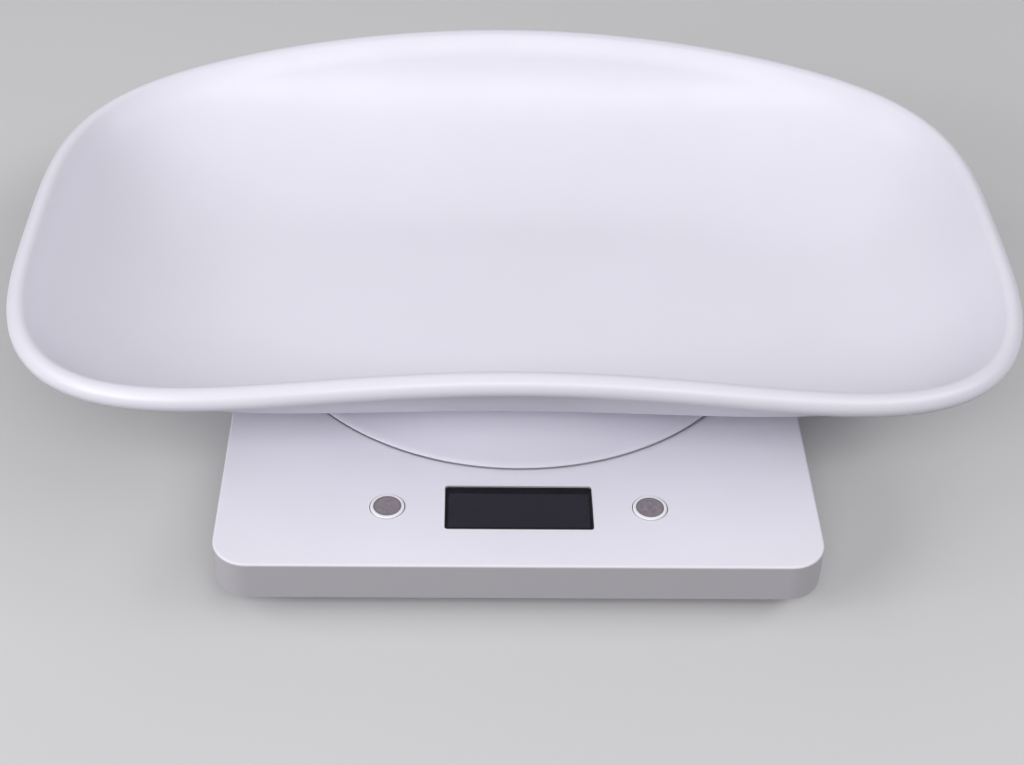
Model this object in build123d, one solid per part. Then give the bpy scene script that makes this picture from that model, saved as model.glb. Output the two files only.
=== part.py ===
from build123d import *
import os
from math import acos, asin, copysign, cos, hypot, pi, radians, sin, sqrt

# Pet scale: a flat electronic scale with a round weighing platform, and a moulded tray that lifts off.
# Millimetres, +Z up, +X to the right, +Y to the back. Everything is worked out about the platform's
# axis, and save() sets it down so that the origin is below the middle of the whole scale.

# Base casing
base_wall_height = 12.5
base_corner_radius = 10.2
base_edge_round = 0.7
cover_wall = 2.0
control_depth = 38.3  # front edge of the base to the tray's round foot
side_margin = 6.6  # sides of the base to the foot
back_margin = 6.9
cover_fit = 0.3  # gap all round between the bottom cover and the casing's walls
past = 1.0  # how far a cutting form reaches past the face that it cuts

# Pan of the bottom cover, which hangs below the casing's walls as far as the batteries need
pan_inset = 8.0
pan_lean = 3.0
pan_wall = 2.0
rim_plate = 1.8
pad_diameter = 12.0
pad_thickness = 2.8
pad_proud = 2.0
pad_fit = 0.1
pad_side_inset = 21.0
pad_end_inset = 19.7
floor_rib = 1.4  # thickness of the ribs on the pan's floor
floor_rib_height = 3.5
floor_rib_inset = 24.0  # ribs along the depth, inside the pan's sides

# Weighing platform
platform_inset = 13.4  # the platform's edge inside the foot's edge
platform_proud = 2.2
platform_plate = 1.8
platform_skirt = 3.8
platform_edge = 0.8
platform_rib = 1.5
recess_gap = 1.2
recess_depth = 2.5
bed_depth = 1.3  # shallow round bed in the deck below the foot's edge
bed_inset = 0.4  # the bed's edge inside the foot's edge
press_travel = 0.5
stop_gap = 0.1

# Tray
tray_wall = 2.4
foot_radius = 78.4
foot_wall = 2.0
foot_gap = 1.0  # height of the foot's edge above the base
foot_fit = 0.5  # gap between the foot's locating ring and the platform's edge
foot_seat_inset = 3.3  # the rib ring that sits on the platform, inside the platform's edge
foot_slope = 20.4  # width of the foot's hollow slope
foot_dip = 1.06  # how far the slope is hollowed below a straight line
foot_neck_rise = 8.3
foot_edge = 0.6
foot_hub = 24.0  # radius of the ring where the foot's ribs meet
floor_rise = 3.75  # the underside of the tray's floor above the base
floor_half_length = 86.0
floor_half_depth = 32.0
floor_power = 2.8
rim_half_length = 148.6  # to the middle of the lip
rim_half_depth = 92.95
rim_power_x = 4.4
rim_power_y = 3.4
rim_side_rise = 45.1  # middle of the lip above the base, halfway along the long sides
rim_end_rise = 29.4  # and at the ends
rim_wave = 1.87
wall_bend = 0.945  # sine of the wall's slope at the rim
lip_radius = 3.4
lip_wall = 1.6
lip_lap = 0.2  # the lip's inner edge inside the wall's inner face
lip_end = -62  # direction in degrees from the lip's middle to where its roll ends
rim_pieces = 76
wall_steps = 6
seat_rib = 1.8

# Load cell
cell_length = 60.0
cell_width = 12.7
cell_height = 8.0
cell_seat_rise = 1.4
cell_end = 5.0  # from the bar's end to its outer hole
cell_hole_pitch = 10.0
cell_bore_radius = 2.9
cell_bore_spacing = 12.0
cell_slot = 2.0
cell_screw_radius = 2.0
cell_head_radius = 3.8
cell_head_height = 1.7
thread_fit = 0.05
screw_fit = 0.3
head_fit = 0.4
moving_head_fit = 0.8  # round the heads that move with the bar
tip_room = 0.4  # depth of a screw hole past the screw's tip
seat_margin_x = 6.0  # the load cell's seat reaches this far past its holes
seat_margin_y = 2.65
spacer_margin_x = 5.0
spacer_margin_y = 0.65
spacer_room = 1.5  # gap round the spacer where it passes through the casing
carrier_inset = 13.0  # the carrier's ends inside the platform's edge
carrier_width = 64.0
carrier_sheet = 1.2
carrier_gap = 0.8
carrier_screw_inset = 10.0

# Display and keys
window_width = 41.75
window_depth = 17.5
window_corner = 1.0
window_thickness = 1.0
window_sunk = 0.2
window_edge = 0.3
window_fit = 0.1
window_border = 1.9
glass_overlap_x = 2.1  # the glass reaches this far past the window at each end
glass_overlap_y = 1.25
glass_thickness = 2.2
glass_fit = 0.15
glass_gap = 0.2  # between the glass and the deck
glass_ledge = 2.0  # width of the frame's ledge under the glass
glass_step = 3.0  # the lower pane's strip of contacts
frame_border = 2.0
connector_width = 1.8
connector_gap = 0.2
board_depth = 25.0
board_thickness = 1.6
board_drop = 4.9  # the board's top below the deck
board_end = 8.8  # the board reaches this far past the keys
board_screw_gap = 5.3  # from a key to a board screw
board_screw_inset = 3.0  # from the board's long edges
board_screw_radius = 0.95
board_post_radius = 2.5
key_gap = 16.3  # from the window's end to a key's middle
key_radius = 4.85
key_fit = 0.25
key_pad_radius = 3.95
key_pad_depth = 0.6
key_pad_fit = 0.05
key_proud = 0.4
key_flange = 1.0  # both how far it stands out and how thick it is
key_play = 0.2  # between the flange and the deck
key_stem_radius = 2.0
guide_fit = 0.4
guide_wall = 1.3
guide_height = 2.1
switch_size = 6.0
switch_height = 1.9
switch_floor = 0.4
plunger_radius = 1.5
plunger_fit = 0.2
plunger_proud = 0.8
plunger_length = 1.7

# Batteries
cell_diameter = 10.5
battery_length = 44.5
battery_gap = 0.5  # between the two cells, and half of it beside them
battery_spring_room = 8.5
battery_back_inset = 14.8  # back edge of the base to the compartment's inner back face
battery_lift = 0.3  # the cells above the pan's floor
box_wall = 1.4
box_roof = 0.8
box_fit = 0.2
contact_sheet = 0.4
contact_bump = 1.0
contact_margin = 0.5  # between a sheet's edges and the compartment's walls
contact_split = 1.4  # between the two sheets on one wall
nub_length = 1.0
nub_radius = 2.7
spring_wire = 0.35
spring_turns = 3
door_fit = 0.2
door_edge = 0.1  # the door inside the compartment's sides
door_tongue = 1.8
door_tongue_height = 1.0
door_grip = 16.0

# Housing screws
boss_radius = 3.5
post_radius = 4.4
housing_screw_radius = 1.25
housing_head_radius = 2.5
housing_head_height = 1.8
housing_clearance = 0.25
housing_seat_rise = 1.0  # where the screw heads sit, above the pan's floor
housing_joint_rise = 1.0  # where posts and bosses meet, above the casing's lower edge
housing_side_inset = 17.0
housing_end_inset = 33.0

# Heights above the table
battery_stack = pan_wall + battery_lift + cell_diameter + box_fit + box_roof + box_fit
pan_drop = battery_stack + cover_wall + recess_depth - base_wall_height
pan_bottom = pad_proud
pan_floor = pan_bottom + pan_wall
wall_bottom = pan_bottom + pan_drop
base_top = wall_bottom + base_wall_height
deck_bottom = base_top - cover_wall
recess_floor = base_top - recess_depth
recess_bottom = recess_floor - cover_wall
cell_bottom = pan_floor + cell_seat_rise
cell_top = cell_bottom + cell_height
carrier_bottom = recess_floor + carrier_gap
carrier_top = carrier_bottom + carrier_sheet
platform_top = base_top + platform_proud
foot_bottom = base_top + foot_gap
floor_bottom = base_top + floor_rise
floor_mid = floor_bottom + tray_wall / 2
bed_floor = base_top - bed_depth
board_top = deck_bottom - board_drop
board_bottom = board_top - board_thickness
board_tip = deck_bottom - 1.0
glass_top = deck_bottom - glass_gap
glass_bottom = glass_top - glass_thickness
switch_top = board_top + switch_height
plunger_top = switch_top + plunger_proud
key_top = base_top + key_proud
flange_top = deck_bottom - key_play
housing_joint = wall_bottom + housing_joint_rise
housing_seat = pan_floor + housing_seat_rise
housing_tip = recess_bottom - 1.2
carrier_tip = platform_top - 1.4
battery_axis = pan_floor + battery_lift + cell_diameter / 2
room_top = battery_axis + cell_diameter / 2 + box_fit

# Places in plan
platform_radius = foot_radius - platform_inset
recess_radius = platform_radius + recess_gap
bed_radius = foot_radius - bed_inset
carrier_length = 2 * (platform_radius - carrier_inset)
carrier_screw_x = carrier_length / 2 - carrier_screw_inset
carrier_screw_y = carrier_width / 2 - carrier_screw_inset
cell_hole_outer = cell_length / 2 - cell_end
cell_hole_middle = cell_hole_outer - cell_hole_pitch / 2
spacer_length = cell_hole_pitch + 2 * spacer_margin_x
spacer_width = cell_width + 2 * spacer_margin_y
base_width = 2 * (foot_radius + side_margin)
base_front = -(foot_radius + control_depth)
base_back = foot_radius + back_margin
base_depth = base_back - base_front
base_middle = (base_front + base_back) / 2
window_centre = foot_radius + control_depth / 2 - 4.05  # in front of the platform's axis
glass_width = window_width + 2 * glass_overlap_x
glass_depth = window_depth + 2 * glass_overlap_y
key_offset = window_width / 2 + key_gap
key_hole_radius = key_radius + key_fit
key_flange_radius = key_hole_radius + key_flange
board_width = 2 * (key_offset + board_end)
board_screw_x = key_offset + board_screw_gap
board_screw_y = board_depth / 2 - board_screw_inset
battery_pitch = cell_diameter + battery_gap
battery_room = battery_length + battery_spring_room
battery_back = base_back - battery_back_inset
battery_front = battery_back - 2 * battery_pitch
back_row = battery_back - battery_pitch / 2
front_row = back_row - battery_pitch
room_middle = (battery_front + battery_back) / 2
room_depth = battery_back - battery_front
door_front = battery_front - box_wall / 2 + door_fit
contact_face = battery_room / 2 - contact_sheet
nub_reach = contact_face - contact_bump
tray_reach = rim_half_depth + lip_radius
origin_shift = -(min(base_front, -tray_reach) + max(base_back, tray_reach)) / 2


def save(name, *solids):
    """Writes one sub-part, set down about the middle of the whole scale."""
    placed = [Pos(0, origin_shift, 0) * solid for solid in solids]
    export_step(placed[0] if len(placed) == 1 else Compound(children=placed), f"parts/{name}.step")


def slab(width, depth, bottom, top, radius=0.0, at=(0, 0)):
    """Upright block between two heights, with round corners if a radius is given."""
    outline = RectangleRounded(width, depth, radius) if radius else Rectangle(width, depth)
    return extrude(Pos(at[0], at[1], bottom) * outline, top - bottom)


def rod(radius, bottom, top, at=(0, 0)):
    """Upright cylinder between two heights."""
    return extrude(Pos(at[0], at[1], bottom) * Circle(radius), top - bottom)


housing_rows = (base_front + housing_end_inset, base_middle, base_back - housing_end_inset)
housing_places = [
    (side * (base_width / 2 - housing_side_inset), y) for side in (-1, 1) for y in housing_rows
]
board_places = [
    (x, y - window_centre) for x in (-board_screw_x, board_screw_x) for y in (-board_screw_y, board_screw_y)
]
pad_places = [
    (side * (base_width / 2 - pad_side_inset), y)
    for side in (-1, 1)
    for y in (base_front + pad_end_inset, base_back - pad_end_inset)
]
carrier_places = [
    (x, y) for x in (-carrier_screw_x, carrier_screw_x) for y in (-carrier_screw_y, carrier_screw_y)
]
key_places = {"left": (-key_offset, -window_centre), "right": (key_offset, -window_centre)}
fixed_holes = [(-cell_hole_outer, 0), (-cell_hole_outer + cell_hole_pitch, 0)]
free_holes = [(cell_hole_outer, 0), (cell_hole_outer - cell_hole_pitch, 0)]


# Tray

def rim_height(share):
    """Height of the lip's middle at a share of the tray's half length: high sides, low ends."""
    drop = (rim_side_rise - rim_end_rise) * (rim_wave * share**2 - (rim_wave - 1) * share**4)
    return base_top + rim_side_rise - drop


def oval(angle, half_length, half_depth, power_x, power_y):
    """Point of a rounded oval in plan, squarer than an ellipse."""
    x = half_length * copysign(abs(cos(angle)) ** (2 / power_x), cos(angle))
    y = half_depth * copysign(abs(sin(angle)) ** (2 / power_y), sin(angle))
    return x, y


def rim_point(angle, out=0.0, up=0.0):
    """Point of the lip's middle line, or beside it by so much outwards and upwards."""
    size = (rim_half_length, rim_half_depth, rim_power_x, rim_power_y)
    x, y = oval(angle, *size)
    before = oval(angle - 1e-4, *size)
    after = oval(angle + 1e-4, *size)
    along = Vector(after[0] - before[0], after[1] - before[1], 0).normalized()
    return Vector(x + along.Y * out, y - along.X * out, rim_height(x / rim_half_length) + up)


def wall_point(angle, share):
    """Middle of the tray's wall, from the floor's edge (share 0) to the rim (share 1)."""
    inset = lip_radius - tray_wall / 2 - lip_lap

    def between(low, high):
        return low + (high - low) * share

    half_length = between(floor_half_length, rim_half_length - inset)
    half_depth = between(floor_half_depth, rim_half_depth - inset)
    power_x = between(floor_power, rim_power_x)
    power_y = between(floor_power, rim_power_y)
    x, y = oval(angle, half_length, half_depth, power_x, power_y)
    bend = (1 - sqrt(1 - (wall_bend * share) ** 2)) / (1 - sqrt(1 - wall_bend**2))
    top = rim_height(x / half_length) + lip_radius / 6
    return Vector(x, y, floor_mid + bend * (top - floor_mid))


def wall_face(angle, share, side):
    """Point of the wall's inner (side 1) or outer (side -1) face."""
    step = 1e-3
    up = wall_point(angle, min(share + step, 1)) - wall_point(angle, share - step)
    along = wall_point(angle + step, share) - wall_point(angle - step, share)
    return wall_point(angle, share) + up.cross(along).normalized() * (side * tray_wall / 2)


def rim_angles():
    """Angles that divide each quarter of the rim into equal lengths."""
    steps = [k / 500 for k in range(501)]
    low = [asin((0.5 ** (1 / rim_power_y) * t) ** (rim_power_y / 2)) for t in steps]
    high = [acos((0.5 ** (1 / rim_power_x) * t) ** (rim_power_x / 2)) for t in reversed(steps)]
    fine = low + high[1:]
    points = [oval(a, rim_half_length, rim_half_depth, rim_power_x, rim_power_y) for a in fine]
    lengths = [0.0]
    for (x0, y0), (x1, y1) in zip(points, points[1:]):
        lengths.append(lengths[-1] + hypot(x1 - x0, y1 - y0))
    count = rim_pieces // 4
    marks = [lengths[-1] * (k + 0.5) / count for k in range(count)]
    quarter = [next(a for a, reached in zip(fine, lengths) if reached >= mark) for mark in marks]
    back = list(reversed(quarter))
    return quarter + [pi - a for a in back] + [pi + a for a in quarter] + [2 * pi - a for a in back]


def ring(points):
    return Wire.make_polygon(points, close=True)


def tray_shell():
    """Floor, walls and the rolled lip, as one skin that goes up outside, over the lip and down inside."""
    angles = rim_angles()
    shares = [k / wall_steps for k in range(1, wall_steps + 1)]
    hollow = [(lip_radius - lip_wall, turn) for turn in (105, 40, -10, lip_end)]
    round_outside = [(lip_radius, turn) for turn in (lip_end, -28, 8, 45, 79, 115)]
    lip = [(reach * cos(radians(turn)), reach * sin(radians(turn))) for reach, turn in hollow + round_outside]

    def level(height):
        return [Vector(wall_point(a, 0).X, wall_point(a, 0).Y, height) for a in angles]

    rings = [level(floor_bottom)]
    rings += [[wall_face(a, share, -1) for a in angles] for share in shares]
    rings += [[rim_point(a, out, up) for a in angles] for out, up in lip]
    rings += [[wall_face(a, share, 1) for a in angles] for share in reversed(shares)]
    rings += [level(floor_bottom + tray_wall)]
    return Solid.make_loft([ring(points) for points in rings], ruled=True)


def above_tray_floor():
    """Everything above the middle of the floor and walls, as far out as the foot reaches."""
    angles = rim_angles()
    shares = [k / wall_steps for k in range(0, wall_steps)]
    rings = [[wall_point(a, share) for a in angles] for share in shares]
    rings[0] = [Vector(p.X, p.Y, floor_mid) for p in rings[0]]
    top = base_top + 2 * rim_side_rise
    rings.append([Vector(p.X, p.Y, top) for p in rings[-1]])
    return Solid.make_loft([ring(points) for points in rings], ruled=True)


def foot_form(radius, bottom, edge_top, neck_top):
    """Solid form of the foot or of its inside: an upright edge, then a hollow curve up to the neck."""
    start = Vector(radius, edge_top)
    end = Vector(radius - foot_slope, neck_top)
    across = Vector(end.Y - start.Y, start.X - end.X).normalized()
    middle = (start + end) / 2 - across * foot_dip
    lines = Polyline((0, neck_top), (0, bottom), (radius, bottom), start)
    lines += ThreePointArc(start, middle, end)
    lines += Line(end, (0, neck_top))
    return revolve(make_face(Plane.XZ * lines), Axis.Z)


def tray_foot():
    """Round foot under the tray: a thin skirt that drops over the platform, with ribs that sit on it."""
    neck = base_top + foot_gap + foot_neck_rise
    edge_top = foot_bottom + foot_edge
    inner_radius = foot_radius - foot_wall
    outer = foot_form(foot_radius, foot_bottom, edge_top, neck)
    inner = foot_form(inner_radius, foot_bottom - past, edge_top - 0.1, neck - foot_wall)
    seat = platform_top
    ribs = Part()
    for turn in range(8):
        length = foot_radius - foot_hub
        rib = slab(length, seat_rib, seat, neck, at=(foot_hub + length / 2, 0))
        ribs += Rot(0, 0, 45 * turn) * rib
    for radius, bottom in (
        (foot_hub, seat),
        (platform_radius - foot_seat_inset, seat),
        (platform_radius + foot_fit, foot_bottom),
    ):
        ribs += rod(radius + seat_rib, bottom, neck) - rod(radius, bottom, neck)
    skin = (outer - inner) + (outer & ribs)
    return skin - above_tray_floor()


def tray():
    return tray_shell() + tray_foot()


# Platform, and what joins it to the load cell

def platform():
    """Weighing platform: a shallow cap with ribs underneath."""
    skirt_bottom = platform_top - platform_skirt
    plate_bottom = platform_top - platform_plate
    cap = rod(platform_radius, skirt_bottom, platform_top)
    cap = chamfer(cap.edges().group_by(Axis.Z)[-1], platform_edge)
    cap -= rod(platform_radius - cover_wall, skirt_bottom, plate_bottom)
    for turn in range(8):
        length = platform_radius - cover_wall - 8
        rib = slab(length + 0.5, platform_rib, carrier_top, plate_bottom, at=(8 + length / 2, 0))
        cap += Rot(0, 0, 22.5 + 45 * turn) * rib
    cap += rod(9.5, carrier_top, plate_bottom) - rod(9.5 - platform_rib, carrier_top, plate_bottom)
    for place in carrier_places:
        cap += rod(boss_radius, carrier_top, plate_bottom, place)
        cap -= rod(housing_screw_radius + thread_fit, carrier_top, carrier_tip + tip_room, place)
    return cap


def platform_carrier():
    """Pressed steel plate between the spacer and the platform."""
    plate = slab(carrier_length, carrier_width, carrier_bottom, carrier_top, 8)
    for side in (-1, 1):
        plate -= slab(34, 22, carrier_bottom, carrier_top, 5, (0, side * carrier_width / 2))
        plate -= slab(26, 20, carrier_bottom, carrier_top, 5, (side * carrier_length / 2, 0))
    for place in free_holes:
        plate -= rod(cell_screw_radius + thread_fit, carrier_bottom, carrier_top, place)
    for place in carrier_places:
        cone = Cone(2 * housing_screw_radius, housing_screw_radius + thread_fit, carrier_sheet)
        plate -= Pos(place[0], place[1], (carrier_bottom + carrier_top) / 2) * cone
    return plate


def carrier_screws():
    """Four flat-headed screws from below, into the platform's bosses."""
    screws = []
    for place in carrier_places:
        head_radius = 2 * housing_screw_radius - thread_fit
        cone = Cone(head_radius, housing_screw_radius, carrier_sheet)
        screw = Pos(place[0], place[1], (carrier_bottom + carrier_top) / 2) * cone
        screw += rod(housing_screw_radius, carrier_top, carrier_tip, place)
        screws.append(screw)
    return screws


def cell_spacer():
    """Block that carries the platform on the load cell's free end, through the casing."""
    block = slab(spacer_length, spacer_width, cell_top, carrier_bottom, 1, (cell_hole_middle, 0))
    for place in free_holes:
        block -= rod(cell_screw_radius + thread_fit, cell_top, carrier_bottom, place)
    return block


def load_cell():
    """Bar with two cross bores joined by a slot, so that it bends where its gauges sit."""
    bar = slab(cell_length, cell_width, cell_bottom, cell_top)
    middle = (cell_bottom + cell_top) / 2
    for side in (-1, 1):
        bore = Pos(side * cell_bore_spacing / 2, 0, middle) * Rot(90, 0, 0) * Cylinder(cell_bore_radius, 20)
        bar -= bore
    bar -= slab(cell_bore_spacing, 20, middle - cell_slot / 2, middle + cell_slot / 2)
    for place in fixed_holes:
        bar -= rod(cell_screw_radius + thread_fit, cell_bottom, cell_top, place)
    for place in free_holes:
        bar -= rod(cell_screw_radius + screw_fit, cell_bottom, cell_top, place)
    return bar


def cap_screw(place, seat, tip, radius, head_radius, head_height):
    """Screw put in from below: its head's upper face is at seat."""
    head = rod(head_radius, seat - head_height, seat, place)
    head = chamfer(head.edges().group_by(Axis.Z)[0], head_height * 0.35)
    socket = slab(radius * 1.1, radius * 1.1, seat - head_height, seat - head_height / 2, at=place)
    return head - socket + rod(radius, seat, tip, place)


def cell_screws(places, seat, tip):
    sizes = (cell_screw_radius, cell_head_radius, cell_head_height)
    return [cap_screw(place, seat, tip, *sizes) for place in places]


def housing_screws():
    sizes = (housing_screw_radius, housing_head_radius, housing_head_height)
    return [cap_screw(place, housing_seat, housing_tip, *sizes) for place in housing_places]


# Base casing

def base_outline(inset, radius):
    size = RectangleRounded(base_width - 2 * inset, base_depth - 2 * inset, radius)
    return Pos(0, base_middle) * size


def top_cover():
    """Casing with straight walls, a round recess, the display's opening and the key holes."""
    cover = extrude(Pos(0, 0, wall_bottom) * base_outline(0, base_corner_radius), base_wall_height)
    cover = fillet(cover.edges().group_by(Axis.Z)[-1], base_edge_round)
    room = base_outline(cover_wall, base_corner_radius - cover_wall)
    cover -= extrude(Pos(0, 0, wall_bottom) * room, deck_bottom - wall_bottom)
    cover += rod(recess_radius + cover_wall, recess_bottom, deck_bottom)
    cover += rod(bed_radius + cover_wall, bed_floor - cover_wall, deck_bottom)
    for place in housing_places:
        cover += rod(boss_radius, housing_joint, deck_bottom, place)
    for place in board_places:
        cover += rod(board_post_radius, board_top, deck_bottom, place)
    for place in key_places.values():
        guide_radius = key_flange_radius + guide_fit
        cover += rod(guide_radius + guide_wall, deck_bottom - guide_height, deck_bottom, place)
        cover -= rod(guide_radius, deck_bottom - guide_height, deck_bottom, place)
        cover -= rod(key_hole_radius, deck_bottom, base_top, place)
    cover -= rod(bed_radius, bed_floor, base_top)
    cover -= rod(recess_radius, recess_floor, bed_floor)
    cover -= slab(
        spacer_length + 2 * spacer_room,
        spacer_width + 2 * spacer_room,
        recess_bottom,
        recess_floor,
        1 + spacer_room,
        (cell_hole_middle, 0),
    )
    for place in housing_places:
        cover -= rod(housing_screw_radius + thread_fit, housing_joint, housing_tip + tip_room, place)
    for place in board_places:
        cover -= rod(board_screw_radius + thread_fit, board_top, board_tip + tip_room, place)
    window = (0, -window_centre)
    cover -= slab(
        window_width + 2 * window_fit,
        window_depth + 2 * window_fit,
        base_top - window_thickness - window_sunk,
        base_top,
        window_corner,
        window,
    )
    cover -= slab(
        window_width - 2 * window_border,
        window_depth - 2 * window_border,
        deck_bottom,
        base_top,
        window_corner,
        window,
    )
    return cover


def pan_solid(inset, bottom, top):
    """The pan's outer or inner form: rounded, and leaning in towards its bottom."""
    slope = pan_lean / pan_drop
    low = pan_inset + pan_lean + inset - slope * (bottom - pan_bottom)
    high = pan_inset + pan_lean + inset - slope * (top - pan_bottom)
    sections = [
        Pos(0, 0, height) * base_outline(edge, base_corner_radius - 3.2)
        for height, edge in ((bottom, low), (top, high))
    ]
    return loft(sections)


def door_region(fit):
    """Stretch of the pan that the battery door takes up, grown all round by a fit."""
    half = battery_room / 2 - door_edge + fit
    front = door_front - fit
    top = wall_bottom - cover_fit + fit
    box = slab(2 * half, 40, pan_bottom - past, top, at=(0, front + 20))
    tongue_bottom = pan_floor - door_edge - door_tongue_height
    tongues = slab(
        2 * (half + door_tongue),
        40,
        tongue_bottom - fit,
        tongue_bottom + door_tongue_height + fit,
        at=(0, front + 20),
    )
    return box, tongues


def floor_ribs():
    """Two ribs along the pan's floor and two across it, on both sides of the load cell."""
    reach = base_width / 2 - pan_inset - pan_lean - floor_rib_inset
    heights = (pan_floor, pan_floor + floor_rib_height)
    ribs = Part()
    for side in (-1, 1):
        along = (floor_rib, battery_front - 2 * box_wall - base_front)
        ribs += slab(*along, *heights, at=(side * reach, base_front + along[1] / 2))
        ribs += slab(2 * reach, floor_rib, *heights, at=(0, side * floor_rib_inset))
    return ribs


def bottom_cover():
    """Pan with its rim plate, screw posts, the load cell's seat and the battery compartment."""
    outer = pan_solid(0, pan_bottom, wall_bottom + rim_plate)
    room = pan_solid(pan_wall, pan_floor, wall_bottom + rim_plate)
    plate = base_outline(cover_wall + cover_fit, base_corner_radius - cover_wall - cover_fit)
    cover = extrude(Pos(0, 0, wall_bottom) * plate, rim_plate) + outer
    cover -= room
    cover += outer & floor_ribs()
    for place in housing_places:
        cover += outer & rod(post_radius, pan_bottom, housing_joint, place)
        cover -= rod(housing_screw_radius + housing_clearance, pan_bottom, housing_joint, place)
        cover -= rod(housing_head_radius + head_fit, pan_bottom, housing_seat, place)
    for place in pad_places:
        cover -= rod(pad_diameter / 2 + pad_fit, pan_bottom, pan_bottom + pad_thickness - pad_proud, place)
    seat_size = (cell_hole_pitch + 2 * seat_margin_x, cell_width + 2 * seat_margin_y)
    cover += slab(*seat_size, pan_floor, cell_bottom, 2, (-cell_hole_middle, 0))
    for place in fixed_holes:
        cover -= rod(cell_screw_radius + screw_fit, pan_bottom, cell_bottom, place)
        cover -= rod(cell_head_radius + head_fit, pan_bottom, pan_floor, place)
    for place in free_holes:
        cover -= rod(cell_head_radius + moving_head_fit, pan_bottom, pan_floor, place)
    for side in (-1, 1):
        stop = (cell_hole_middle, side * (cell_width / 2 - 1.5))
        cover += rod(1.3, pan_floor, cell_bottom - press_travel - stop_gap, stop)
    compartment = slab(
        battery_room + 2 * (door_tongue + box_wall),
        room_depth + 2 * box_wall,
        pan_bottom,
        room_top + box_roof,
        1.5,
        (0, room_middle),
    )
    cover += compartment
    cover -= slab(battery_room, room_depth, pan_floor, room_top, at=(0, room_middle))
    box, tongues = door_region(door_fit)
    cover -= box & pan_solid(-past, pan_bottom - past, pan_floor + door_fit)
    cover -= box & slab(base_width, 20, pan_bottom, wall_bottom, at=(0, battery_back + box_wall + 10))
    cover -= tongues
    return cover


def battery_door():
    """Slide-off door: a stretch of the pan's floor and back wall, with a tongue along each side."""
    box, tongues = door_region(0)
    skin = pan_solid(0, pan_bottom, wall_bottom) - pan_solid(pan_wall, pan_floor, wall_bottom)
    door = box & skin
    door += tongues & slab(base_width, room_depth + 1.5, pan_bottom, pan_floor, at=(0, room_middle))
    for row in range(3):
        groove = slab(door_grip, 1.0, pan_bottom, pan_bottom + 0.5, at=(0, battery_back - 4.0 - 2.2 * row))
        door -= groove
    return door


def foot_pads():
    """Four rubber pads, the only things that touch the table."""
    pads = []
    for place in pad_places:
        pad = rod(pad_diameter / 2, 0, pad_thickness, place)
        pads.append(chamfer(pad.edges().group_by(Axis.Z)[0], 0.6))
    return pads


# Display, board and keys

def display_window():
    """Dark pane let into the deck, with its upper edges taken off."""
    top = base_top - window_sunk
    size = (window_width - window_fit, window_depth - window_fit)
    middle = (0, -window_centre)
    pane = slab(*size, top - window_thickness, top, window_corner - window_fit, middle)
    return chamfer(pane.edges().group_by(Axis.Z)[-1], window_edge)


def lcd_panel():
    """Two bonded panes, the lower one longer for its contacts."""
    pane = glass_thickness / 2
    lower = slab(glass_width, glass_depth, glass_bottom, glass_bottom + pane, at=(0, -window_centre))
    size = (glass_width, glass_depth - glass_step)
    upper = slab(*size, glass_bottom + pane, glass_top, at=(0, -window_centre + glass_step / 2))
    return lower + upper


def lcd_frame():
    """Frame between the board and the deck that holds the glass."""
    middle = (0, -window_centre)
    frame = slab(
        glass_width + 2 * frame_border, glass_depth + 2 * frame_border, board_top, deck_bottom, 1, middle
    )
    room = (glass_width + 2 * glass_fit, glass_depth + 2 * glass_fit)
    frame -= slab(*room, glass_bottom, deck_bottom, at=middle)
    room = (glass_width - 2 * glass_ledge, glass_depth - 2 * glass_ledge)
    frame -= slab(*room, board_top, glass_bottom, at=middle)
    return frame


def lcd_connector():
    """Rubber strip with contacts between the glass and the board."""
    front = -window_centre - glass_depth / 2 + glass_ledge + connector_gap
    size = (glass_width - 3 * glass_ledge, connector_width)
    return slab(*size, board_top, glass_bottom, at=(0, front + connector_width / 2))


def main_board():
    board = slab(board_width, board_depth, board_bottom, board_top, 1.5, (0, -window_centre))
    for place in board_places:
        board -= rod(board_screw_radius + screw_fit, board_bottom, board_top, place)
    return board


def chip_cover():
    """Round drop of hard resin over the chip, under the board."""
    drop = rod(6.0, board_bottom - 1.2, board_bottom, (-22, -window_centre))
    return chamfer(drop.edges().group_by(Axis.Z)[0], 0.9, 2.0)


def board_screws():
    sizes = (board_bottom, board_tip, board_screw_radius, 2 * board_screw_radius, 1.3)
    return [cap_screw(place, *sizes) for place in board_places]


def key_switch_bodies():
    bodies = []
    for place in key_places.values():
        body = slab(switch_size, switch_size, board_top, switch_top, 0.5, place)
        well = rod(plunger_radius + plunger_fit, board_top + switch_floor, switch_top, place)
        bodies.append(body - well)
    return bodies


def key_plunger(place):
    bottom = plunger_top - plunger_length
    plunger = rod(plunger_radius, bottom, plunger_top, place)
    return chamfer(plunger.edges().group_by(Axis.Z)[-1], 0.2)


def key_cap(place):
    """Round cap with a flange that keeps it in the casing and a stem that presses the switch."""
    cap = rod(key_radius, flange_top, key_top, place)
    cap = chamfer(cap.edges().group_by(Axis.Z)[-1], 0.25)
    cap += rod(key_flange_radius, flange_top - key_flange, flange_top, place)
    cap += rod(key_stem_radius, plunger_top, flange_top - key_flange, place)
    return cap - rod(key_pad_radius + key_pad_fit, key_top - key_pad_depth, key_top, place)


def key_pad(place):
    return rod(key_pad_radius, key_top - key_pad_depth, key_top - key_pad_fit, place)


# Batteries and their contacts

def battery(row, direction):
    """One cell along X with its nub towards direction."""
    body = Cylinder(cell_diameter / 2, battery_length - nub_length)
    body = chamfer(body.edges(), 0.5)
    middle = nub_reach - (battery_length + nub_length) / 2
    body = Pos(direction * middle, row, battery_axis) * Rot(0, 90, 0) * body
    nub = Cylinder(nub_radius, nub_length)
    return body + Pos(direction * (nub_reach - nub_length / 2), row, battery_axis) * Rot(0, 90, 0) * nub


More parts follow.
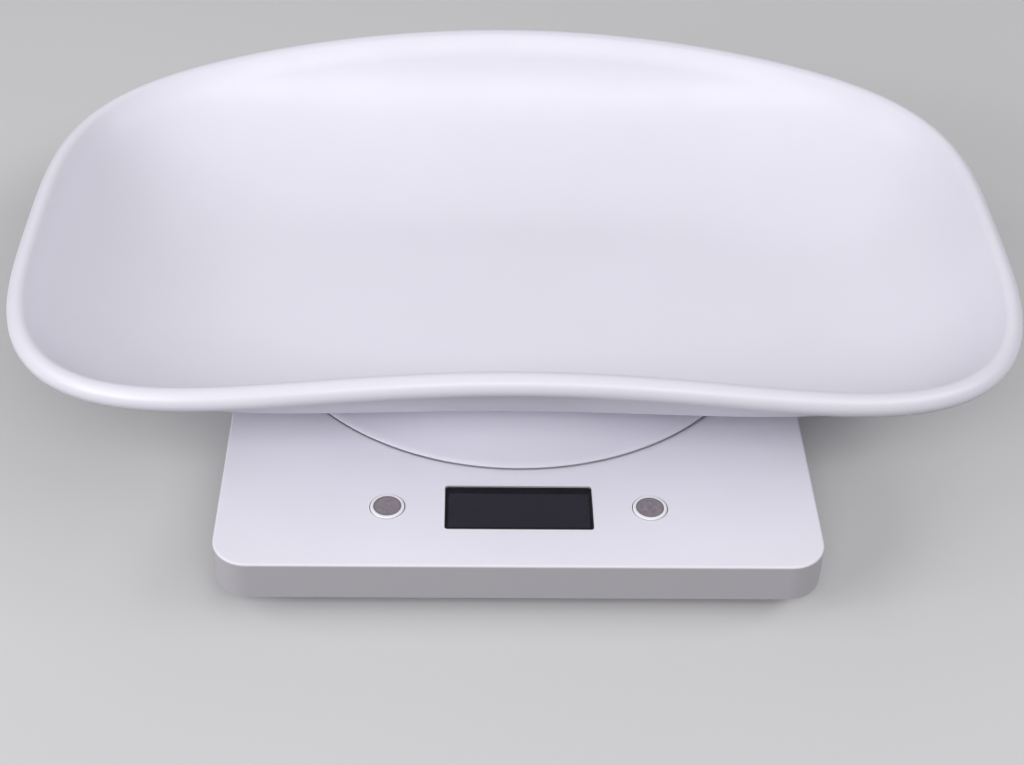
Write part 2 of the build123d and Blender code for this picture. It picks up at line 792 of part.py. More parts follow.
def contact_sheet_on(side, front, back):
    """Sheet on an end wall of the compartment, between two places along the depth."""
    middle = (side * (battery_room - contact_sheet) / 2, (front + back) / 2, battery_axis)
    return Pos(*middle) * Box(contact_sheet, back - front, cell_diameter - 1.5)


def contact_nub(side, row):
    """Pressed bump that meets a cell's nub."""
    place = Pos(side * (contact_face - contact_bump / 2), row, battery_axis)
    return place * Rot(0, -90 * side, 0) * Cone(2.6, 1.8, contact_bump)


def battery_contacts():
    """One sheet across both cells at the right, and two short ones at the left."""
    front = battery_front + contact_margin
    back = battery_back - contact_margin
    joined = contact_sheet_on(1, front, back) + contact_nub(1, front_row)
    plain = contact_sheet_on(-1, front, room_middle - contact_split / 2)
    bumped = contact_sheet_on(-1, room_middle + contact_split / 2, back) + contact_nub(-1, back_row)
    return [joined, bumped, plain]


def contact_spring(side, row):
    """Tapered spring from a contact plate to a cell's flat end, bent in half turns."""
    length = contact_face - (battery_length - nub_reach)
    bends = 2 * spring_turns
    radii = [3.9 - 1.7 * k / bends for k in range(bends + 1)]
    rise = (length - 2 * spring_wire) / bends
    arcs = []
    for k in range(bends):
        turn = (-1) ** k
        start = Vector(turn * radii[k], 0, k * rise)
        end = Vector(-turn * radii[k + 1], 0, (k + 1) * rise)
        middle = (start + end) / 2 + Vector(0, turn * (radii[k] + radii[k + 1]) / 2, 0)
        arcs.append(Edge.make_three_point_arc(start, middle, end))
    coil = Wire(arcs)
    section = Plane(coil @ 0, z_dir=coil % 0) * RegularPolygon(spring_wire, 6)
    lift = Pos(side * (contact_face - spring_wire), row, battery_axis) * Rot(0, -90 * side, 0)
    return lift * sweep(section, coil)


# Writing the sub-parts

os.makedirs("parts", exist_ok=True)
save("tray", tray())
save("platform", platform())
save("platform_carrier", platform_carrier())
save("carrier_screws", *carrier_screws())
save("cell_spacer", cell_spacer())
save("load_cell", load_cell())
save("cell_free_screws", *cell_screws(free_holes, cell_bottom, carrier_top - 0.2))
save("cell_fixed_screws", *cell_screws(fixed_holes, pan_floor, cell_top - 1.5))
save("top_cover", top_cover())
save("bottom_cover", bottom_cover())
save("battery_door", battery_door())
save("foot_pads", *foot_pads())
save("housing_screws", *housing_screws())
save("display_window", display_window())
save("lcd_panel", lcd_panel())
save("lcd_frame", lcd_frame())
save("lcd_connector", lcd_connector())
save("main_board", main_board())
save("chip_cover", chip_cover())
save("board_screws", *board_screws())
save("key_switch_bodies", *key_switch_bodies())
for side, place in key_places.items():
    save(f"{side}_key_plunger", key_plunger(place))
    save(f"{side}_key_cap", key_cap(place))
    save(f"{side}_key_pad", key_pad(place))
save("battery_cells", battery(front_row, 1), battery(back_row, -1))
save("battery_contacts", *battery_contacts())
save("battery_springs", contact_spring(-1, front_row), contact_spring(1, back_row))
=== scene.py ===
from math import acos, asin, copysign, cos, hypot, pi, radians, sin, sqrt

import bmesh
import bpy
from mathutils import Matrix, Vector


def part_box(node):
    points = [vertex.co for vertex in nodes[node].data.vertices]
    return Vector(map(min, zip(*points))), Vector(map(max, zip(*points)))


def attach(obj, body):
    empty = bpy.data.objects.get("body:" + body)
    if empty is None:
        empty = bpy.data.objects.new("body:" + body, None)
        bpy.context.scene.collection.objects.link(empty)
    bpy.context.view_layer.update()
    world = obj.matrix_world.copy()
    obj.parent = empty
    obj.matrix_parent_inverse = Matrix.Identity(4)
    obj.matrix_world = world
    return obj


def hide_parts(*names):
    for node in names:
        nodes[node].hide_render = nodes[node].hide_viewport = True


# Pet scale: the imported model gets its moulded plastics, glass and metals, and the tray a smooth
# skin. Metres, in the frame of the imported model.

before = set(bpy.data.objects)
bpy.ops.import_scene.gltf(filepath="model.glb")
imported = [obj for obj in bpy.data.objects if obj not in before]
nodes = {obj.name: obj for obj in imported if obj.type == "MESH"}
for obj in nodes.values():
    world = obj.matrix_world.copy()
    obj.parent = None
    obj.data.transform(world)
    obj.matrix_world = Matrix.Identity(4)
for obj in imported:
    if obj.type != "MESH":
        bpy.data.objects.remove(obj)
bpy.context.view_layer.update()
MM = 0.001

# Sizes read from the frame
tray_low, tray_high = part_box("tray")
cover_low, cover_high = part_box("top_cover")
platform_low, platform_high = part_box("platform")
centre = ((tray_low + tray_high) / 2).to_2d()
base_top = cover_high.z

# The tray's own sizes, as in its mould. The powers are those of its ovals in plan: 2 is an ellipse,
# and more is squarer.
tray_wall = 2.4 * MM
lip_radius = 3.4 * MM
lip_wall = 1.6 * MM
lip_end = -62  # direction in degrees from the lip's middle to where its roll ends
floor_half_length = 86.0 * MM
floor_half_depth = 32.0 * MM
floor_power = 2.8
rim_half_length = (tray_high.x - tray_low.x) / 2 - lip_radius
rim_half_depth = (tray_high.y - tray_low.y) / 2 - lip_radius
rim_power_x = 4.4
rim_power_y = 3.4
rim_side_top = tray_high.z - lip_radius
rim_drop = 15.7 * MM  # from the middle of the long sides to the ends
rim_wave = 1.87  # how soon the drop comes: 2 makes the rim level at the middle and at the ends
wall_bend = 0.945  # the wall curves up as a quarter circle cut off at this share of its radius
wall_top_rise = lip_radius / 6  # from the lip's middle line to where the wall ends in its roll
floor_bottom = base_top + 3.75 * MM
floor_mid = floor_bottom + tray_wall / 2
foot_radius = 78.4 * MM
foot_wall = 2.0 * MM
foot_bottom = base_top + 1.0 * MM
foot_edge_top = foot_bottom + 0.6 * MM
foot_edge_soft = 0.35 * MM  # width of the round between the foot's edge and its slope
foot_edge_rise = foot_edge_soft * 0.9
foot_neck_radius = 58.0 * MM
foot_top = foot_bottom + 8.3 * MM
foot_inner_drop = 0.1 * MM  # from the edge's top to the start of the inner slope
foot_dip = 1.06 * MM  # of its hollow slope
foot_hub = 24.0 * MM  # radius of the inner ring
platform_radius = (platform_high.x - platform_low.x) / 2
rib_wall = 1.8 * MM
rib_ease = 0.3 * MM  # of the ribs' lower edges
spoke_end_gap = 1.0 * MM  # from the foot's inner slope, at the height of the platform
seat_ring_inset = 3.3 * MM  # from the platform's edge to the ring that sits on it
locating_gap = 0.5 * MM  # from the platform's edge to the ring round it

# How finely the smooth skins are cut
rim_parts = 288
wall_parts = 26
foot_parts = 180
outer_slope_parts = 20
inner_slope_parts = 16
ring_parts = 144
spoke_parts = 24
sharp_angle = radians(38)
same_place = 1e-7


# Material helpers

# Sockets of the colour mix node, whose names come twice
MIX_FACTOR, MIX_FIRST, MIX_SECOND, MIX_RESULT = 0, 6, 7, 2


class Shader:
    """A node material with one Principled shader and short calls for the nodes that it needs."""

    def __init__(self, name, colour, roughness, **values):
        self.material = bpy.data.materials.new(name)
        self.material.use_nodes = True
        self.tree = self.material.node_tree
        self.principled = self.tree.nodes["Principled BSDF"]
        self.set("Base Color", (*colour, 1))
        self.set("Roughness", roughness)
        for key, value in values.items():
            self.set(key.replace("_", " "), value)

    def set(self, socket, value):
        self.principled.inputs[socket].default_value = value

    def node(self, kind, **settings):
        """New node, whose settings go to its attributes or else to its sockets."""
        made = self.tree.nodes.new(kind)
        for key, value in settings.items():
            if hasattr(made, key):
                setattr(made, key, value)
            else:
                made.inputs[key.replace("_", " ")].default_value = value
        return made

    def link(self, source, target):
        self.tree.links.new(source, target)

    def own_place(self):
        """Place in the object's own space."""
        return self.node("ShaderNodeTexCoord").outputs["Object"]

    def noise(self, scale, detail=3, stretch=None):
        """Noise in the object's own space, with scale in features per metre."""
        coordinates = self.own_place()
        if stretch:
            mapping = self.node("ShaderNodeMapping")
            mapping.inputs["Scale"].default_value = stretch
            self.link(coordinates, mapping.inputs["Vector"])
            coordinates = mapping.outputs["Vector"]
        noise = self.node("ShaderNodeTexNoise", Scale=scale, Detail=detail, Roughness=0.55)
        self.link(coordinates, noise.inputs["Vector"])
        return noise.outputs["Fac"]

    def spread(self, source, low, high, start=0.35, end=0.65):
        """Maps a grey value from start..end to low..high."""
        mapping = self.node("ShaderNodeMapRange", clamp=True)
        mapping.inputs["From Min"].default_value = start
        mapping.inputs["From Max"].default_value = end
        mapping.inputs["To Min"].default_value = low
        mapping.inputs["To Max"].default_value = high
        self.link(source, mapping.inputs["Value"])
        return mapping.outputs["Result"]

    def tint(self, source, first, second):
        """Colour between two colours by a grey value, into the base colour."""
        mix = self.node("ShaderNodeMix", data_type="RGBA")
        self.link(source, mix.inputs[MIX_FACTOR])
        mix.inputs[MIX_FIRST].default_value = (*first, 1)
        mix.inputs[MIX_SECOND].default_value = (*second, 1)
        self.link(mix.outputs[MIX_RESULT], self.principled.inputs["Base Color"])

    def part(self, source, axis):
        """One part of a vector."""
        parts = self.node("ShaderNodeSeparateXYZ")
        self.link(source, parts.inputs[0])
        return parts.outputs[axis]

    def math(self, operation, *values):
        """Result of a math node on grey values from other nodes and plain numbers."""
        made = self.node("ShaderNodeMath", operation=operation)
        for value, target in zip(values, made.inputs):
            if isinstance(value, bpy.types.NodeSocket):
                self.link(value, target)
            else:
                target.default_value = value
        return made.outputs[0]

    def apart(self, axis, middle):
        """Distance from a plane across an axis, in the object's own space."""
        offset = self.math("SUBTRACT", self.part(self.own_place(), axis), middle)
        return self.math("ABSOLUTE", offset)

    def bump(self, source, depth, previous=None):
        """Bump with its depth in metres."""
        bump = self.node("ShaderNodeBump", Strength=1.0, Distance=depth)
        self.link(source, bump.inputs["Height"])
        if previous:
            self.link(previous, bump.inputs["Normal"])
        self.link(bump.outputs["Normal"], self.principled.inputs["Normal"])
        return bump.outputs["Normal"]


def plastic(name, colour, shade, roughness, grain=0.00001, gloss=0.12):
    """Moulded plastic: faint clouds of colour, a fine skin texture and slightly uneven gloss."""
    shader = Shader(name, colour, roughness, IOR=1.49)
    shader.set("Subsurface Weight", 0.08)
    shader.set("Subsurface Radius", (0.004, 0.0035, 0.003))
    shader.set("Subsurface Scale", 0.6)
    clouds = shader.noise(scale=18, detail=4)
    shader.tint(shader.spread(clouds, 0, 1), colour, shade)
    uneven = shader.noise(scale=60)
    low, high = roughness - gloss / 2, roughness + gloss / 2
    shader.link(shader.spread(uneven, low, high), shader.principled.inputs["Roughness"])
    flow = shader.bump(shader.noise(scale=45, detail=2), depth=grain * 3)
    shader.bump(shader.noise(scale=2600, detail=2), depth=grain, previous=flow)
    return shader


def paint_shade_on_sides(shader, side):
    """Paints shade on upright faces: greys them against the deck, to stand in for the shade they
    fall in.
    """
    normal = shader.node("ShaderNodeNewGeometry").outputs["True Normal"]
    side_shade_mask = shader.spread(shader.part(normal, "Z"), 1, 0, start=0.15, end=0.9)
    mix = shader.node("ShaderNodeMix", data_type="RGBA")
    colour = shader.principled.inputs["Base Color"]
    shader.link(side_shade_mask, mix.inputs[MIX_FACTOR])
    shader.link(colour.links[0].from_socket, mix.inputs[MIX_FIRST])
    mix.inputs[MIX_SECOND].default_value = (*side, 1)
    shader.link(mix.outputs[MIX_RESULT], colour)


def metal(name, colour, roughness, stretch=None):
    """Drawn, milled or plated metal with fine lines or mottling."""
    shader = Shader(name, colour, roughness, Metallic=1.0)
    lines = shader.noise(scale=900, detail=4, stretch=stretch)
    low, high = roughness * 0.7, roughness * 1.4
    shader.link(shader.spread(lines, low, high), shader.principled.inputs["Roughness"])
    dull = tuple(c * 0.82 for c in colour)
    shader.tint(shader.spread(shader.noise(scale=150), 0, 1), colour, dull)
    shader.bump(lines, depth=0.000004)
    return shader


# Materials

tray_plastic = plastic(
    "tray_plastic", (0.79, 0.775, 0.86), (0.775, 0.76, 0.84), 0.35, grain=0.000004, gloss=0.05
)
casing_plastic = plastic(
    "casing_plastic", (0.83, 0.815, 0.89), (0.81, 0.795, 0.87), 0.46, grain=0.000007
)
# Painted shade: the casing's upright faces are greyed to stand in for the shade on them.
paint_shade_on_sides(casing_plastic, (0.50, 0.483, 0.517))
pan_plastic = plastic("pan_plastic", (0.74, 0.73, 0.77), (0.71, 0.70, 0.74), 0.52, grain=0.000016)
platform_plastic = plastic(
    "platform_plastic", (0.74, 0.73, 0.77), (0.72, 0.71, 0.75), 0.5, grain=0.000012
)
key_plastic = plastic("key_plastic", (0.90, 0.89, 0.93), (0.88, 0.87, 0.91), 0.36, grain=0.000005)
frame_plastic = plastic("frame_plastic", (0.03, 0.03, 0.032), (0.024, 0.024, 0.026), 0.5)
pad_rubber = plastic("pad_rubber", (0.30, 0.30, 0.31), (0.26, 0.26, 0.27), 0.8, grain=0.00003)
connector_rubber = plastic("connector_rubber", (0.55, 0.50, 0.47), (0.48, 0.44, 0.41), 0.7)
chip_resin = plastic("chip_resin", (0.012, 0.012, 0.014), (0.02, 0.02, 0.022), 0.25)
aluminium = metal("aluminium", (0.78, 0.78, 0.80), 0.32, stretch=(1, 14, 14))
zinc_steel = metal("zinc_steel", (0.66, 0.67, 0.68), 0.34)
nickel = metal("nickel", (0.76, 0.73, 0.68), 0.24)


def smoked_window():
    """Dark polished window, with the display a little lighter than the border printed round it;
    along the top the border is wider, a band of painted shade under the recess's top edge.
    """
    shader = Shader("window_plastic", (0.012, 0.011, 0.014), 0.05, IOR=1.5, Specular_IOR_Level=0.32)
    shader.bump(shader.noise(scale=120, detail=2), depth=0.000003)
    dust = shader.spread(shader.noise(scale=1500), 0.03, 0.07, start=0.45, end=0.75)
    shader.link(dust, shader.principled.inputs["Roughness"])
    low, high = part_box("display_window")
    # The border along the top is widened by a band of painted shade under the recess's top edge.
    border, top_border_and_shade, soft = 0.9 * MM, 2.9 * MM, 0.25 * MM

    def between(axis, start, end):
        """White between two planes across an axis, and black beside them."""
        half = (end - start) / 2
        distance = shader.apart(axis, (start + end) / 2)
        return shader.spread(distance, 1, 0, half - soft, half + soft)

    across = between("X", low.x + border, high.x - border)
    along = between("Y", low.y + border, high.y - top_border_and_shade)
    shown = shader.math("MULTIPLY", across, along)
    shader.tint(shown, (0.002, 0.002, 0.003), (0.0205, 0.0185, 0.027))
    return shader


def key_pad_rubber():
    """Grey rubber of both key pads: mottled, with painted shade deepening towards the rim."""
    shader = plastic("key_rubber", (0.265, 0.238, 0.258), (0.24, 0.215, 0.235), 0.62, grain=0.00002)
    low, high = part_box("right_key_pad")
    middle, radius = (low + high) / 2, (high.x - low.x) / 2
    mirrored = shader.node("ShaderNodeVectorMath", operation="ABSOLUTE")
    shader.link(shader.own_place(), mirrored.inputs[0])
    distance = shader.node("ShaderNodeVectorMath", operation="DISTANCE")
    shader.link(mirrored.outputs[0], distance.inputs[0])
    distance.inputs[1].default_value = (abs(middle.x), abs(middle.y), high.z)
    # Painted shade: the pad darkens towards its rim, where it meets the cap.
    rim = shader.spread(distance.outputs["Value"], 0, 1, start=0.75 * radius, end=radius)
    mottle = shader.spread(shader.noise(scale=750), 0, 0.7)
    shade_and_mottle = shader.math("MAXIMUM", rim, mottle)
    shader.tint(shade_and_mottle, (0.285, 0.247, 0.272), (0.18, 0.153, 0.172))
    return shader


window_plastic = smoked_window()
key_rubber = key_pad_rubber()

lcd_glass = Shader("lcd_glass", (0.30, 0.33, 0.30), 0.12, IOR=1.52)
haze = lcd_glass.spread(lcd_glass.noise(scale=60), 0, 1)
lcd_glass.tint(haze, (0.32, 0.35, 0.31), (0.27, 0.30, 0.27))

board_lacquer = Shader("board_lacquer", (0.02, 0.12, 0.06), 0.3, IOR=1.5)
weave = board_lacquer.noise(scale=900, detail=2, stretch=(1, 3, 1))
board_lacquer.tint(board_lacquer.spread(weave, 0, 1), (0.018, 0.11, 0.055), (0.03, 0.15, 0.075))
board_lacquer.bump(weave, depth=0.00001)


def battery_jacket():
    """Film jacket in plain dark and light bands."""
    shader = Shader("battery_jacket", (0.05, 0.055, 0.065), 0.28, Metallic=0.35, Coat_Weight=0.5)
    place = shader.node("ShaderNodeNewGeometry").outputs["Position"]
    radians_per_metre = 70.0
    turn = shader.math("MULTIPLY", shader.part(place, "X"), radians_per_metre)
    wave = shader.math("SINE", turn)
    bands = shader.spread(wave, 0, 1, start=0.30, end=0.34)
    shader.tint(bands, (0.05, 0.055, 0.07), (0.45, 0.46, 0.47))
    return shader


jacket = battery_jacket()
finishes = {
    "top_cover": casing_plastic,
    "bottom_cover": pan_plastic,
    "battery_door": pan_plastic,
    "display_window": window_plastic,
    "lcd_panel": lcd_glass,
    "lcd_frame": frame_plastic,
    "lcd_connector": connector_rubber,
    "main_board": board_lacquer,
    "board_screws": zinc_steel,
    "chip_cover": chip_resin,
    "key_switch_bodies": frame_plastic,
    "load_cell": aluminium,
    "cell_spacer": aluminium,
    "cell_fixed_screws": zinc_steel,
    "cell_free_screws": zinc_steel,
    "foot_pads": pad_rubber,
    "housing_screws": zinc_steel,
    "battery_cells": jacket,
    "battery_springs": nickel,
    "battery_contacts": nickel,
    "platform": platform_plastic,
    "platform_carrier": zinc_steel,
    "carrier_screws": zinc_steel,
    "left_key_cap": key_plastic,
    "right_key_cap": key_plastic,
    "left_key_pad": key_rubber,
    "right_key_pad": key_rubber,
    "left_key_plunger": frame_plastic,
    "right_key_plunger": frame_plastic,
    "tray": tray_plastic,
}
for name, shader in finishes.items():
    mesh = nodes[name].data
    mesh.materials.clear()
    mesh.materials.append(shader.material)


# Tray

def oval(angle, half_length, half_depth, power_x, power_y):
    """Point of a rounded oval in plan, squarer than an ellipse."""
    x = half_length * copysign(abs(cos(angle)) ** (2 / power_x), cos(angle))
    y = half_depth * copysign(abs(sin(angle)) ** (2 / power_y), sin(angle))
    return x, y


def rim_height(share):
    """Height of the lip's middle line at a share of the half length."""
    return rim_side_top - rim_drop * (rim_wave * share**2 - (rim_wave - 1) * share**4)


def rim_point(angle, out=0.0, up=0.0):
    """Point of the lip's middle line, or beside it by so much outwards and upwards."""
    step = 1e-4
    size = (rim_half_length, rim_half_depth, rim_power_x, rim_power_y)
    x, y = oval(angle, *size)
    before = oval(angle - step, *size)
    after = oval(angle + step, *size)
    along = Vector((after[0] - before[0], after[1] - before[1], 0)).normalized()
    return Vector((x + along.y * out, y - along.x * out, rim_height(x / rim_half_length) + up))


def wall_oval(share):
    """Half length, half depth and powers of the wall's outline, from floor (0) to rim (1)."""
    overlap = 0.2 * MM
    inset = lip_radius - tray_wall / 2 - overlap
    floor_oval = (floor_half_length, floor_half_depth, floor_power, floor_power)
    rim_oval = (rim_half_length - inset, rim_half_depth - inset, rim_power_x, rim_power_y)
    return [low + (high - low) * share for low, high in zip(floor_oval, rim_oval)]


def wall_height(along, share):
    """Height of the wall's middle, at a share of the outline's half length and of the way up."""
    bend = (1 - sqrt(1 - (wall_bend * share) ** 2)) / (1 - sqrt(1 - wall_bend**2))
    return floor_mid + bend * (rim_height(along) + wall_top_rise - floor_mid)


def wall_point(angle, share):
    """Middle of the tray's wall."""
    size = wall_oval(share)
    x, y = oval(angle, *size)
    return Vector((x, y, wall_height(x / size[0], share)))


def wall_face(angle, share, side):
    """Point of the wall's inner (side 1) or outer (side -1) face."""
    step = 1e-3
    up = wall_point(angle, min(share + step, 1)) - wall_point(angle, share - step)
    along = wall_point(angle + step, share) - wall_point(angle - step, share)
    return wall_point(angle, share) + up.cross(along).normalized() * (side * tray_wall / 2)


def rim_angles(count):
    """Angles that divide each quarter of the rim into equal lengths."""
    samples = 1500
    steps = [k / samples for k in range(samples + 1)]
    # To the middle of the corner by even steps in depth, and on by even steps in length
    low = [asin((0.5 ** (1 / rim_power_y) * t) ** (rim_power_y / 2)) for t in steps]
    high = [acos((0.5 ** (1 / rim_power_x) * t) ** (rim_power_x / 2)) for t in reversed(steps)]
    fine = low + high[1:]
    points = [oval(a, rim_half_length, rim_half_depth, rim_power_x, rim_power_y) for a in fine]
    lengths = [0.0]
    for (x0, y0), (x1, y1) in zip(points, points[1:]):
        lengths.append(lengths[-1] + hypot(x1 - x0, y1 - y0))
    marks = [lengths[-1] * (k + 0.5) / (count // 4) for k in range(count // 4)]
    quarter = [next(a for a, reached in zip(fine, lengths) if reached >= mark) for mark in marks]
    back = list(reversed(quarter))
    return quarter + [pi - a for a in back] + [pi + a for a in quarter] + [2 * pi - a for a in back]


def middle_height(x, y):
    """Height of the middle of the tray's floor or wall above a place in plan."""

    def outside(share):
        half_length, half_depth, power_x, power_y = wall_oval(share)
        return abs(x / half_length) ** power_x + abs(y / half_depth) ** power_y > 1

    if not outside(0):
        return floor_mid
    low, high = 0.0, 1.0
    halvings = 30
    for _ in range(halvings):
        share = (low + high) / 2
        low, high = (share, high) if outside(share) else (low, share)
    return wall_height(x / wall_oval(low)[0], low)


def mesh_object(name, mesh, material, body):
    """Object that rides on a body."""
    made = bpy.data.objects.new(name, mesh)
    bpy.context.scene.collection.objects.link(made)
    mesh.materials.append(material.material)
    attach(made, body)
    return made


def lofted(name, rings, capped=True):
    """Mesh through closed rings of points. Its two end rings are filled, or meet in one place."""
    bm = bmesh.new()
    loops = [[bm.verts.new(point) for point in ring] for ring in rings]
    for low, high in zip(loops, loops[1:]):
        for k in range(len(low)):
            n = (k + 1) % len(low)
            bm.faces.new((low[k], low[n], high[n], high[k]))
    if capped:
        bm.faces.new(list(reversed(loops[0])))
        bm.faces.new(loops[-1])
    bmesh.ops.remove_doubles(bm, verts=bm.verts, dist=same_place)
    bmesh.ops.recalc_face_normals(bm, faces=bm.faces)
    for face in bm.faces:
        face.smooth = True
    for edge in bm.edges:
        edge.smooth = edge.calc_face_angle(0) < sharp_angle
    mesh = bpy.data.meshes.new(name)
    bm.to_mesh(mesh)
    bm.free()
    return mesh


def arc(centre_out, centre_up, radius, start, end, steps):
    """Points (out, up) on an arc between two directions in degrees."""
    turns = [radians(start + (end - start) * k / steps) for k in range(steps + 1)]
    return [(centre_out + radius * cos(t), centre_up + radius * sin(t)) for t in turns]


def tray_moulding():
    """Bowl and rolled lip as one skin: up outside, over the lip and down inside."""
    angles = rim_angles(rim_parts)
    shares = [k / wall_parts for k in range(1, wall_parts + 1)]
    levels = (0.25, 0.5, 0.75, 0.97)
    lip_start_below, lip_start_above = 105, 128  # in degrees, where the lip leaves the wall
    skin = lip_radius - lip_wall / 2
    tip = (skin * cos(radians(lip_end)), skin * sin(radians(lip_end)))
    lip = arc(0, 0, lip_radius - lip_wall, lip_start_below, lip_end, steps=10)
    lip += arc(*tip, lip_wall / 2, lip_end + 180, lip_end + 360, steps=8)[1:-1]
    lip += arc(0, 0, lip_radius, lip_end, lip_start_above, steps=24)

    def level(share, height):
        """Ring on the flat floor."""
        ring = [wall_point(a, 0) for a in angles]
        return [Vector((p.x * share, p.y * share, height)) for p in ring]

    rings = [level(share, floor_bottom) for share in levels]
    rings += [[wall_face(a, share, -1) for a in angles] for share in shares]
    rings += [[rim_point(a, out, up) for a in angles] for out, up in lip]
    rings += [[wall_face(a, share, 1) for a in angles] for share in reversed(shares[:-1])]
    rings += [level(share, floor_bottom + tray_wall) for share in reversed(levels)]
    return lofted("tray_bowl", [[p + centre.to_3d() for p in ring] for ring in rings])


def hollow_curve(start, end):
    """Function of the share along an arc (radius, height) that sags by foot_dip under its chord."""
    (r0, z0), (r1, z1) = start, end
    chord = hypot(r1 - r0, z1 - z0)
    radius = (chord**2 / 4 + foot_dip**2) / (2 * foot_dip)
    middle = Vector(((r0 + r1) / 2, (z0 + z1) / 2))
    normal = Vector((z1 - z0, r0 - r1)).normalized()
    heart = middle + normal * (radius - foot_dip)
    first = Vector((r0, z0)) - heart
    sweep = first.angle_signed(Vector((r1, z1)) - heart)

    def point(share):
        turn = -sweep * share
        x = first.x * cos(turn) - first.y * sin(turn)
        y = first.x * sin(turn) + first.y * cos(turn)
        return heart + Vector((x, y))

    return point


outer_slope = hollow_curve(
    (foot_radius - foot_edge_soft, foot_edge_top + foot_edge_rise),
    (foot_neck_radius, foot_top),
)
inner_slope = hollow_curve(
    (foot_radius - foot_wall, foot_edge_top - foot_inner_drop),
    (foot_neck_radius - foot_wall, foot_top - foot_wall),
)
foot_ceiling = [inner_slope(k / inner_slope_parts) for k in range(inner_slope_parts + 1)]


def direction(part, parts):
    """Direction in plan at one of the equal parts of a turn."""
    return Vector((cos(2 * pi * part / parts), sin(2 * pi * part / parts)))


def slope_points(slope, along, parts):
    """Points up a slope of the foot in one direction, as far as the middle of the tray's wall."""

    def sunk(share):
        radius, height = slope(share)
        return height > middle_height(*(along * radius))

    low, high = 0.0, 1.0
    halvings = 20 if sunk(high) else 0
    for _ in range(halvings):
        share = (low + high) / 2
        low, high = (low, share) if sunk(share) else (share, high)
    return [slope(high * k / parts) for k in range(parts + 1)]


def tray_foot():
    """Skirt of the round foot, as a closed skin."""
    inner_ease, outer_ease = 0.1 * MM, 0.15 * MM
    lower_edge = [
        (foot_radius - foot_wall, foot_bottom + inner_ease),
        (foot_radius - foot_wall + inner_ease, foot_bottom),
        (foot_radius - outer_ease, foot_bottom),
        (foot_radius, foot_bottom + outer_ease),
        (foot_radius, foot_edge_top),
    ]
    sections = []
    for part in range(foot_parts):
        along = direction(part, foot_parts)
        inner = slope_points(inner_slope, along, inner_slope_parts)
        outer = slope_points(outer_slope, along, outer_slope_parts)
        neck = (inner[-1].x, min(foot_top, middle_height(*(along * inner[-1].x))))
        profile = [*reversed(inner), *lower_edge, *outer, neck, inner[-1]]
        sections.append([Vector((*(centre + along * r), z)) for r, z in profile])
    return lofted("tray_foot", list(zip(*sections)), capped=False)


def rib_top(x, y):
    """Height above a place in plan where a rib ends unseen in the foot's skin or the floor."""
    radius = hypot(x, y)
    ceiling = foot_top - foot_wall
    for outside, inside in zip(foot_ceiling, foot_ceiling[1:]):
        if inside.x <= radius <= outside.x:
            share = (outside.x - radius) / (outside.x - inside.x)
            ceiling = outside.y + (inside.y - outside.y) * share
    return min(ceiling + foot_wall / 3, middle_height(x, y))


def rib_section(inner, outer, bottom):
    """Ring of six points: a rib cut across between two places in plan, with eased lower edges."""
    across = (outer - inner).normalized() * rib_ease
    points = [
        (inner, rib_top(*inner)),
        (inner, bottom + rib_ease),
        (inner + across, bottom),
        (outer - across, bottom),
        (outer, bottom + rib_ease),
        (outer, rib_top(*outer)),
    ]
    return [Vector((*(centre + place), height)) for place, height in points]


def foot_ribs():
    """Ribs in the foot: eight spokes and two rings sit on the platform, a third goes round it."""
    meshes = []
    seat = platform_high.z
    spokes = 8
    start = foot_hub + rib_wall / 2
    length = next(p.x for p in foot_ceiling if p.y > seat) - spoke_end_gap - foot_hub
    for part in range(spokes):
        along = direction(part, spokes)
        side = Vector((-along.y, along.x)) * rib_wall / 2
        steps = [start + length * k / spoke_parts for k in range(spoke_parts + 1)]
        rings = [rib_section(along * r - side, along * r + side, seat) for r in steps]
        meshes.append(lofted("spoke", rings))
    for radius, bottom in (
        (foot_hub, seat),
        (platform_radius - seat_ring_inset, seat),
        (platform_radius + locating_gap, foot_bottom),
    ):
        rings = []
        for part in range(ring_parts + 1):
            along = direction(part, ring_parts)
            rings.append(rib_section(along * radius, along * (radius + rib_wall), bottom))
        meshes.append(lofted("ring", rings, capped=False))
    bm = bmesh.new()
    for mesh in meshes:
        bm.from_mesh(mesh)
        bpy.data.meshes.remove(mesh)
    made = bpy.data.meshes.new("tray_foot_ribs")
    bm.to_mesh(made)
    bm.free()
    return made


bowl = mesh_object("tray_bowl", tray_moulding(), tray_plastic, "tray_unit")
foot = mesh_object("tray_foot", tray_foot(), tray_plastic, "tray_unit")
ribs = mesh_object("tray_foot_ribs", foot_ribs(), tray_plastic, "tray_unit")
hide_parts("tray")


# Camera, floor and light

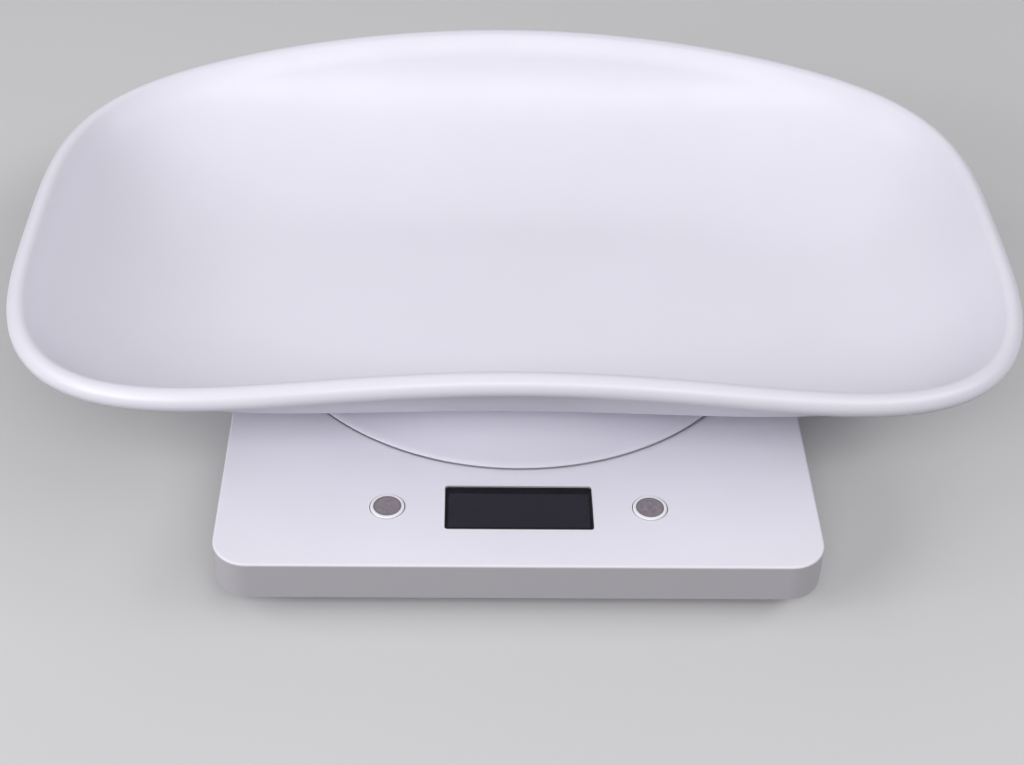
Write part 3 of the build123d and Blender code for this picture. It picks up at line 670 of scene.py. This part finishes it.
def camera():
    """Camera fitted to the photograph's edges: place, turn and focal length."""
    focal_pixels, picture_width = 1787.366, 1024
    yaw, pitch, roll = radians(-1.945), radians(39.962), radians(1.706)
    place = Vector((-15.377 * MM, centre.y - 458.19 * MM, cover_low.z + 364.391 * MM))
    data = bpy.data.cameras.new("camera")
    data.sensor_width = 36.0
    data.lens = focal_pixels / picture_width * data.sensor_width
    made = bpy.data.objects.new("camera", data)
    bpy.context.scene.collection.objects.link(made)
    forward = Vector((-sin(yaw) * cos(pitch), cos(yaw) * cos(pitch), -sin(pitch)))
    level = Vector((cos(yaw), sin(yaw), 0))
    above = level.cross(forward)
    right = cos(roll) * level + sin(roll) * above
    up = -sin(roll) * level + cos(roll) * above
    turn = Matrix((right, up, -forward)).transposed()
    made.matrix_world = Matrix.Translation(place) @ turn.to_4x4()
    bpy.context.scene.camera = made


def floor():
    """Pale floor that throws no light back on the object, like the photograph's dark ground."""
    mesh = bpy.data.meshes.new("floor")
    half = 6.0  # of the floor's side
    corners = [(-half, -half, 0), (half, -half, 0), (half, half, 0), (-half, half, 0)]
    mesh.from_pydata(corners, [], [(0, 1, 2, 3)])
    shader = Shader("floor_paper", (0.64, 0.635, 0.64), 0.75)
    clouds = shader.spread(shader.noise(scale=3), 0, 1)
    shader.tint(clouds, (0.645, 0.64, 0.645), (0.63, 0.625, 0.63))
    mesh.materials.append(shader.material)
    made = bpy.data.objects.new("floor", mesh)
    bpy.context.scene.collection.objects.link(made)
    made.visible_diffuse = False


def area_light(name, place, size, power):
    """Soft rectangular light, turned to the object."""
    target = Vector((0, 0, 30 * MM))
    data = bpy.data.lights.new(name, "AREA")
    data.shape = "RECTANGLE"
    data.size, data.size_y = size
    data.energy = power
    made = bpy.data.objects.new(name, data)
    bpy.context.scene.collection.objects.link(made)
    made.location = place
    made.rotation_euler = (target - Vector(place)).to_track_quat("-Z", "Y").to_euler()


def world_light(colour, strength):
    """Even fill light from all sides."""
    world = bpy.data.worlds.new("world")
    world.use_nodes = True
    background = world.node_tree.nodes["Background"]
    background.inputs["Color"].default_value = (*colour, 1)
    background.inputs["Strength"].default_value = strength
    bpy.context.scene.world = world


camera()
floor()
# Name, place, width and height in metres, and power in watts
for light in (
    ("front", (0, -1.0, 1.03), (1.0, 0.4), 6.2),
    ("low left", (-1.1, -0.64, 0.6), (0.8, 0.4), 8.2),
    ("right front", (0.72, -0.72, 1.03), (0.8, 0.4), 3.0),
    ("left", (-1.05, -0.1, 0.9), (0.8, 0.4), 3.0),
    ("right", (1.05, -0.1, 0.9), (0.8, 0.4), 3.8),
    ("back", (0, 0.9, 1.1), (1.2, 0.5), 0.8),
    ("low back", (0, 1.27, 0.62), (1.6, 0.6), 1.4),
):
    area_light(*light)
world_light((0.95, 0.95, 1.0), 0.2)
bpy.context.scene.view_settings.view_transform = "Standard"
